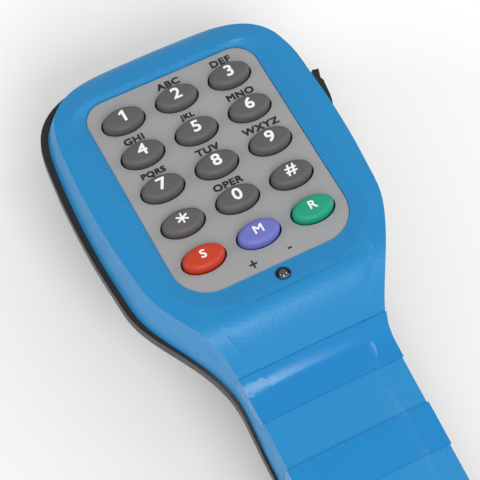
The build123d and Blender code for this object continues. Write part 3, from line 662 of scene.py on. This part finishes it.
def turned_mesh(name, section, lean=0.0):
    """A closed turned shape from (radius, height) points on the pad, round the lamp's middle.

    lean is how much it rises for each unit of length towards the handle.
    """
    mesh = bpy.data.meshes.new(name)
    edit = bmesh.new()
    turns = [2 * math.pi * i / turned_steps for i in range(turned_steps)]
    loops = [[edit.verts.new((r * math.cos(a), lamp_y + r * math.sin(a),
                              z - lean * r * math.sin(a))) for a in turns]
             for r, z in section]
    for lower, upper in zip(loops, loops[1:] + loops[:1]):
        for i in range(turned_steps):
            j = (i + 1) % turned_steps
            edit.faces.new((lower[i], lower[j], upper[j], upper[i]))
    bmesh.ops.remove_doubles(edit, verts=edit.verts, dist=0.0005 * mm)
    bmesh.ops.dissolve_degenerate(edit, edges=edit.edges, dist=0.0004 * mm)
    bmesh.ops.recalc_face_normals(edit, faces=edit.faces)
    edit.to_mesh(mesh)
    edit.free()
    mesh.transform(pad)
    mesh.shade_smooth()
    mesh.set_sharp_from_angle(angle=math.radians(35))
    return mesh


dome = [(lens_r * math.cos(math.radians(a)), lens_top - lens_r * (1 - math.sin(math.radians(a))))
        for a in range(0, 90, 9)]
lens = add_piece("lamp_lens", turned_mesh("lamp_lens", [(0, lens_low), (lens_r, lens_low), *dome,
                                                        (0, lens_top)]),
                 "handset", finishes["led_lens"])
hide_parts("polarity_led")
ring_r = 1.78 * mm
ring_section_r = 0.20 * mm
ring_z = 0.86 * mm
ring_section = [(ring_r + ring_section_r * math.cos(math.radians(a)),
                 ring_z + ring_section_r * math.sin(math.radians(a))) for a in range(0, 360, 30)]
dish_lean = 1.55 / 7.0
lamp_ring = add_piece("lamp_ring", turned_mesh("lamp_ring", ring_section, dish_lean), "handset",
                      finishes["black_shell"])
print("lamp", len(lens.data.polygons), len(lamp_ring.data.polygons))

# %% [markdown]
# ## Printing
# The digits are printed on the keys and the dial letters on the plate.  Text becomes a mesh
# first, with a thin body so that it is real ink, then it is centred, laid on the crown or the
# plate, and rides on the same body as the thing it is printed on.  The function keys carry one
# plain letter each, and the lamp has a plus and a minus sign beside it.

# %% Ink from text
ink_proud = 0.035 * mm
ink_deep = 0.30 * mm


def flat_words(name, words):
    """The words as a flat mesh, about one unit tall."""
    font = bpy.data.curves.new(name, "FONT")
    font.body = words
    font.size = 1.0
    font.space_character = 1.1
    font.resolution_u = 4
    writing = bpy.data.objects.new(name + "_text", font)
    scene.collection.objects.link(writing)
    flat = bpy.data.meshes.new_from_object(
        writing.evaluated_get(bpy.context.evaluated_depsgraph_get()))
    bpy.data.objects.remove(writing)
    return flat


def flat_star(name):
    """A six-armed star sign as a flat mesh, one unit tall, which the font draws too thin."""
    outline = []
    arm_width = 0.05
    for arm in range(6):
        turn = math.radians(90 + 60 * arm)
        along = Vector((math.cos(turn), math.sin(turn), 0))
        side = Vector((-along.y, along.x, 0)) * arm_width
        outline += [along * 0.5 - side, along * 0.5 + side]
        inner = turn + math.radians(30)
        outline.append(Vector((math.cos(inner), math.sin(inner), 0)) * arm_width * 2)
    flat = bpy.data.meshes.new(name)
    flat.from_pydata([tuple(point) for point in outline], [], [tuple(range(len(outline)))])
    return flat


def flat_one(name):
    """The digit 1 with its flag, which the font draws as a plain bar."""
    outline = [(0.17, 0), (0.29, 0), (0.29, 0.73), (0.21, 0.73), (0.02, 0.59), (0.02, 0.49),
               (0.17, 0.58)]
    flat = bpy.data.meshes.new(name)
    flat.from_pydata([(x, y, 0) for x, y in outline], [], [tuple(range(len(outline)))])
    return flat


def thickened(edit, reach):
    """Makes thin strokes bold, with four more copies shifted a little towards the corners."""
    sheet = list(edit.verts) + list(edit.edges) + list(edit.faces)
    for step, (side, up) in enumerate(((1, 1), (-1, 1), (1, -1), (-1, -1))):
        copy = bmesh.ops.duplicate(edit, geom=sheet)
        for v in [g for g in copy["geom"] if isinstance(g, bmesh.types.BMVert)]:
            v.co += Vector((side * reach, up * reach, (step + 1) * 0.002 * mm))


def ink(name, words, cap_mm, middle, body, material, on_key, bold=0.03, widen=1.0):
    """Printed words, cap_mm tall, centred on a place on the pad."""
    own_shapes = {"*": flat_star, "1": flat_one}
    flat = own_shapes.get(words, lambda n: flat_words(n, words))(name)
    edit = bmesh.new()
    edit.from_mesh(flat)
    bmesh.ops.remove_doubles(edit, verts=edit.verts, dist=0.0005)
    bmesh.ops.triangulate(edit, faces=edit.faces)
    xs = [v.co.x for v in edit.verts]
    ys = [v.co.y for v in edit.verts]
    scale = cap_mm * mm * (1 - 2 * bold) / (max(ys) - min(ys))
    for v in edit.verts:
        v.co.x = (v.co.x - (min(xs) + max(xs)) / 2) * scale * widen
        v.co.y = (v.co.y - (min(ys) + max(ys)) / 2) * scale
    top = list(edit.faces)
    for face in top:
        face.normal_update()
        if face.normal.z < 0:
            face.normal_flip()
    thickened(edit, bold * cap_mm * mm)
    ink_z = ink_proud
    if on_key is not None:
        ink_z += crown_height(middle[0] - on_key[0], middle[1] - on_key[1])
    for v in edit.verts:
        v.co = Vector((v.co.x + middle[0], v.co.y + middle[1], v.co.z + ink_z))
    body_of_ink = bmesh.ops.extrude_face_region(edit, geom=list(edit.faces))
    lifted = [g for g in body_of_ink["geom"] if isinstance(g, bmesh.types.BMVert)]
    sunk = set(edit.verts) - set(lifted)
    for v in sunk:
        v.co.z -= ink_deep if on_key is not None else ink_proud * 1.5
    bmesh.ops.recalc_face_normals(edit, faces=edit.faces)
    edit.to_mesh(flat)
    edit.free()
    flat.transform(pad)
    flat.name = name
    return add_piece(name, flat, body, material)


# %% Digits, signs and function letters on the keys
key_marks = {name: name for name in "1234567890"}
key_marks.update({"star": "*", "hash": "#", "store": "S", "memory": "M", "redial": "R"})
mark_height = {"star": 2.9, "hash": 3.2, "store": 2.3, "memory": 2.3, "redial": 2.3}
digit_height = 3.3
mark_lift = 0.35 * mm
for key_name, mark in key_marks.items():
    x, y = key_middles[key_name]
    height = mark_height.get(key_name, digit_height)
    ink("mark_" + key_name, mark, height, (x, y + mark_lift), body_of["key_" + key_name],
        white_ink, (x, y), bold=0.025, widen=1.15)

# %% Dial letters and lamp signs on the plate
dial_letters = {"2": "ABC", "3": "DEF", "4": "GHI", "5": "JKL", "6": "MNO",
                "7": "PQRS", "8": "TUV", "9": "WXYZ", "0": "OPER"}
letter_height = 2.05
letter_rise = 5.2 * mm
for key_name, letters in dial_letters.items():
    x, y = key_middles[key_name]
    ink("letters_" + key_name, letters, letter_height, (x, y + letter_rise), "handset",
        black_ink, None, bold=0.055, widen=1.18)
sign_y = -51.3 * mm
for sign_name, sign, x in (("plus", "+", -5.0 * mm), ("minus", "-", 5.0 * mm)):
    height = 2.2 if sign == "+" else 0.45
    ink("lamp_" + sign_name, sign, height, (x, sign_y), "handset", black_ink, None)
print("ink pieces", len(key_marks) + len(dial_letters) + 2)

# %% [markdown]
# ## What repeats
# The cord gland has rings that let it bend, and the clip has ribs to grip it by.  A row of
# equal things along a line is what Geometry Nodes are for: a line of points, one shape placed
# on each, made real and given its material.  The result becomes a plain mesh that rides on the
# right body.

# %% A row of ribs or rings
def row_tree(name, ring):
    """A node tree that repeats a rounded bar, or a ring, between two points."""
    tree = bpy.data.node_groups.new(name, "GeometryNodeTree")
    tree.interface.new_socket("Geometry", in_out="OUTPUT", socket_type="NodeSocketGeometry")
    inputs = {}
    for label, kind in (("Count", "NodeSocketInt"), ("Start", "NodeSocketVector"),
                        ("Step", "NodeSocketVector"), ("Size", "NodeSocketVector"),
                        ("Turn", "NodeSocketVector"), ("Material", "NodeSocketMaterial")):
        inputs[label] = tree.interface.new_socket(label, in_out="INPUT", socket_type=kind)
    source = tree.nodes.new("NodeGroupInput")
    line = tree.nodes.new("GeometryNodeMeshLine")
    line.mode = "OFFSET"
    tree.links.new(source.outputs["Count"], line.inputs["Count"])
    tree.links.new(source.outputs["Start"], line.inputs["Start Location"])
    tree.links.new(source.outputs["Step"], line.inputs["Offset"])
    place = tree.nodes.new("GeometryNodeInstanceOnPoints")
    tree.links.new(line.outputs["Mesh"], place.inputs["Points"])
    tree.links.new(source.outputs["Turn"], place.inputs["Rotation"])
    tree.links.new(source.outputs["Size"], place.inputs["Scale"])
    if ring:
        circle = tree.nodes.new("GeometryNodeCurvePrimitiveCircle")
        circle.inputs["Resolution"].default_value = 48
        circle.inputs["Radius"].default_value = 1.0
        section = tree.nodes.new("GeometryNodeCurvePrimitiveCircle")
        section.inputs["Resolution"].default_value = 12
        section.inputs["Radius"].default_value = 0.13
        sweep = tree.nodes.new("GeometryNodeCurveToMesh")
        tree.links.new(circle.outputs["Curve"], sweep.inputs["Curve"])
        tree.links.new(section.outputs["Curve"], sweep.inputs["Profile Curve"])
        tree.links.new(sweep.outputs["Mesh"], place.inputs["Instance"])
    else:
        bar = tree.nodes.new("GeometryNodeMeshUVSphere")
        bar.inputs["Segments"].default_value = 16
        bar.inputs["Rings"].default_value = 10
        bar.inputs["Radius"].default_value = 1.0
        tree.links.new(bar.outputs["Mesh"], place.inputs["Instance"])
    real = tree.nodes.new("GeometryNodeRealizeInstances")
    tree.links.new(place.outputs["Instances"], real.inputs["Geometry"])
    smooth = tree.nodes.new("GeometryNodeSetShadeSmooth")
    tree.links.new(real.outputs["Geometry"], smooth.inputs["Geometry"])
    paint = tree.nodes.new("GeometryNodeSetMaterial")
    tree.links.new(smooth.outputs["Geometry"], paint.inputs["Geometry"])
    tree.links.new(source.outputs["Material"], paint.inputs["Material"])
    sink = tree.nodes.new("NodeGroupOutput")
    tree.links.new(paint.outputs["Geometry"], sink.inputs["Geometry"])
    return tree, {label: socket.identifier for label, socket in inputs.items()}


rib_tree = row_tree("row_of_ribs", ring=False)
ring_tree = row_tree("row_of_rings", ring=True)


def row_piece(name, tree_and_ids, values, body, slot_name):
    """Runs a row tree with these values and keeps the result as a plain mesh."""
    tree, ids = tree_and_ids
    holder = bpy.data.objects.new(name + "_maker", bpy.data.meshes.new(name + "_empty"))
    scene.collection.objects.link(holder)
    modifier = holder.modifiers.new("row", "NODES")
    modifier.node_group = tree
    for label, value in values.items():
        modifier[ids[label]] = value
    modifier[ids["Material"]] = finishes[slot_name]
    bpy.context.view_layer.update()
    mesh = bpy.data.meshes.new_from_object(
        holder.evaluated_get(bpy.context.evaluated_depsgraph_get()))
    bpy.data.objects.remove(holder)
    mesh.name = name
    piece = add_piece(name, mesh, body, finishes[slot_name])
    print(name, len(mesh.polygons), "faces")
    return piece


# %% Rings behind the cord gland's flange
gland_low, gland_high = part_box("cord_gland")
gland_middle_z = (gland_low[2] + gland_high[2]) / 2
row_piece("gland_rings", ring_tree,
          {"Count": 3, "Start": (0, gland_low[1] - 0.1 * mm, gland_middle_z),
           "Step": (0, -1.5 * mm, 0), "Size": (4.0 * mm, 4.0 * mm, 4.0 * mm),
           "Turn": (math.radians(90), 0, 0)},
          "handset", "rubber_black")

# %% Ribs across the belt clip's thumb end
clip_low, clip_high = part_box("belt_clip")
row_piece("clip_ribs", rib_tree,
          {"Count": 5, "Start": (0, clip_low[1] + 2.0 * mm, clip_high[2] - 0.9 * mm),
           "Step": (0, 2.2 * mm, -0.55 * mm), "Size": (8.5 * mm, 0.45 * mm, 0.45 * mm),
           "Turn": (0, 0, 0)},
          "clip_body", "black_lever")
